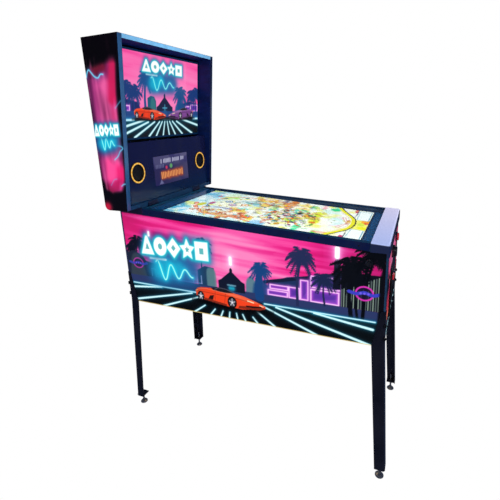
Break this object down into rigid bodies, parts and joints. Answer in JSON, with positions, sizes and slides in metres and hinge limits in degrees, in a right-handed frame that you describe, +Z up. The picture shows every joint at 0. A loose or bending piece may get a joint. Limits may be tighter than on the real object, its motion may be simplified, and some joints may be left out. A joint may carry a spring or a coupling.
{
  "type": "pinball machine",
  "caption": "Digital pinball machine: a sloping glass-topped cabinet on splayed steel legs, with a folding backbox holding a display, speaker panel and score window.",
  "frame": {"origin": "on the floor, midway between the four feet", "axes": "+X to the player's right, +Y from the player towards the backbox, +Z up"},
  "size_m": [0.766, 1.362, 1.922],
  "materials": {
    "cabinet_art_board": "printed and clear-coated MDF",
    "black_board": "black lacquered MDF",
    "raw_board": "raw plywood",
    "backbox_board": "printed and clear-coated MDF",
    "rail_metal": "gloss powder coat",
    "bar_metal": "brushed, clear-coated",
    "leg_metal": "gloss black powder coat",
    "zinc_steel": "zinc plated",
    "black_bolt": "black oxide",
    "foot_metal": "nickel plated",
    "clear_glass": "toughened, clear",
    "channel_plastic": "extruded",
    "display_case_plastic": "fine texture",
    "playfield_picture": "lit display",
    "backglass_picture": "lit display",
    "score_picture": "dim lit display",
    "bezel_black": "satin",
    "panel_gloss": "glossy",
    "amber_ring": "lit from behind",
    "speaker_black": "paper cone and steel basket",
    "button_black": "moulded",
    "button_red": "moulded",
    "button_chrome": "plated ring",
    "switch_plastic": "moulded",
    "door_metal": "textured powder coat",
    "lock_metal": "nickel plated",
    "case_metal": "satin",
    "supply_metal": "sheet",
    "board_green": "solder mask",
    "fan_plastic": "moulded"
  },
  "bodies": {
    "cabinet": {"cabinet_side_left": "cabinet_art_board", "cabinet_side_right": "cabinet_art_board", "cabinet_front_panel": "cabinet_art_board", "cabinet_rear_panel": "black_board", "cabinet_floor": "raw_board", "cabinet_rear_shelf": "black_board", "side_rail_left": "rail_metal", "side_rail_right": "rail_metal", "glass_channels": "channel_plastic", "playfield_glass": "clear_glass", "lockdown_receiver": "zinc_steel", "playfield_display_case": "display_case_plastic", "playfield_display_screen": "playfield_picture", "playfield_bezel": "bezel_black", "display_brackets": "zinc_steel", "leg_front_left": "leg_metal", "leg_front_right": "leg_metal", "leg_rear_left": "leg_metal", "leg_rear_right": "leg_metal", "leg_corner_plates": "zinc_steel", "leg_bolts": "black_bolt", "leveler_nuts": "zinc_steel", "front_button_housings": "button_black", "flipper_button_housings": "button_black", "button_switches": "switch_plastic", "coin_door_frame": "door_metal", "computer_case": "case_metal", "power_supply": "supply_metal", "control_board": "board_green", "cabinet_speaker": "speaker_black", "exhaust_fan_frame": "fan_plastic", "power_inlet": "switch_plastic", "hinge_leaves_lower": "zinc_steel"},
    "lockdown_bar": {"lockdown_bar": "bar_metal"},
    "start_button": {"start_button": "button_black"},
    "launch_button": {"launch_button": "button_red"},
    "flipper_button_left": {"flipper_button_left": "button_black"},
    "flipper_button_right": {"flipper_button_right": "button_black"},
    "coin_door": {"coin_door": "door_metal"},
    "coin_reject_button": {"coin_reject_button": "button_red"},
    "coin_door_lock": {"coin_door_lock": "lock_metal"},
    "exhaust_fan_rotor": {"exhaust_fan_rotor": "fan_plastic"},
    "power_rocker": {"power_rocker": "button_red"},
    "backbox_rear_door": {"backbox_rear_door": "black_board"},
    "backbox": {"backbox_side_left": "backbox_board", "backbox_side_right": "backbox_board", "backbox_top": "black_board", "backbox_floor": "black_board", "backbox_back_frame": "black_board", "backbox_display_case": "display_case_plastic", "backbox_display_screen": "backglass_picture", "speaker_panel": "panel_gloss", "speakers": "speaker_black", "speaker_rings": "amber_ring", "score_display": "score_picture", "hinge_leaves_upper": "zinc_steel"},
    "leveler_front_left": {"leveler_front_left": "foot_metal"},
    "leveler_front_right": {"leveler_front_right": "foot_metal"},
    "leveler_rear_left": {"leveler_rear_left": "foot_metal"},
    "leveler_rear_right": {"leveler_rear_right": "foot_metal"}
  },
  "joints": [
    {"name": "backbox_fold", "type": "hinge", "parent": "cabinet", "child": "backbox", "pos_m": [0, 0.51, 1.165], "axis": [1, 0, 0], "range_deg": [0, 85]},
    {"name": "rear_door_swing", "type": "hinge", "parent": "backbox", "child": "backbox_rear_door", "pos_m": [-0.3, 0.636, 1.545], "axis": [0, 0, 1], "range_deg": [0, 90]},
    {"name": "lockdown_bar_lift", "type": "slide", "parent": "cabinet", "child": "lockdown_bar", "axis": [0, 0, 1], "range_m": [0, 0.08]},
    {"name": "start_button_press", "type": "slide", "parent": "cabinet", "child": "start_button", "axis": [0, 1, 0], "range_m": [0, 0.004], "stiffness_N_per_m": 400, "springref_m": -0.001},
    {"name": "launch_button_press", "type": "slide", "parent": "cabinet", "child": "launch_button", "axis": [0, 1, 0], "range_m": [0, 0.004], "stiffness_N_per_m": 400, "springref_m": -0.001},
    {"name": "flipper_left_press", "type": "slide", "parent": "cabinet", "child": "flipper_button_left", "axis": [1, 0, 0], "range_m": [0, 0.005], "stiffness_N_per_m": 400, "springref_m": -0.001},
    {"name": "flipper_right_press", "type": "slide", "parent": "cabinet", "child": "flipper_button_right", "axis": [-1, 0, 0], "range_m": [0, 0.005], "stiffness_N_per_m": 400, "springref_m": -0.001},
    {"name": "coin_door_swing", "type": "hinge", "parent": "cabinet", "child": "coin_door", "pos_m": [-0.1395, -0.6509, 0.82], "axis": [0, 0, -1], "range_deg": [0, 110]},
    {"name": "coin_reject_press", "type": "slide", "parent": "coin_door", "child": "coin_reject_button", "axis": [0, 1, 0], "range_m": [0, 0.004], "stiffness_N_per_m": 200, "springref_m": -0.001},
    {"name": "coin_door_lock_turn", "type": "hinge", "parent": "coin_door", "child": "coin_door_lock", "pos_m": [0.118, -0.645, 0.82], "axis": [0, 1, 0], "range_deg": [0, 90]},
    {"name": "exhaust_fan_spin", "type": "hinge", "parent": "cabinet", "child": "exhaust_fan_rotor", "pos_m": [0.15, 0.613, 0.9], "axis": [0, 1, 0], "continuous": true},
    {"name": "power_rocker_tip", "type": "hinge", "parent": "cabinet", "child": "power_rocker", "pos_m": [-0.184, 0.643, 0.722], "axis": [1, 0, 0], "range_deg": [0, 24]},
    {"name": "leveler_front_left_travel", "type": "slide", "parent": "cabinet", "child": "leveler_front_left", "axis": [0, 0, -1], "range_m": [0, 0.025]},
    {"name": "leveler_front_right_travel", "type": "slide", "parent": "cabinet", "child": "leveler_front_right", "axis": [0, 0, -1], "range_m": [0, 0.025]},
    {"name": "leveler_rear_left_travel", "type": "slide", "parent": "cabinet", "child": "leveler_rear_left", "axis": [0, 0, -1], "range_m": [0, 0.025]},
    {"name": "leveler_rear_right_travel", "type": "slide", "parent": "cabinet", "child": "leveler_rear_right", "axis": [0, 0, -1], "range_m": [0, 0.025]}
  ]
}
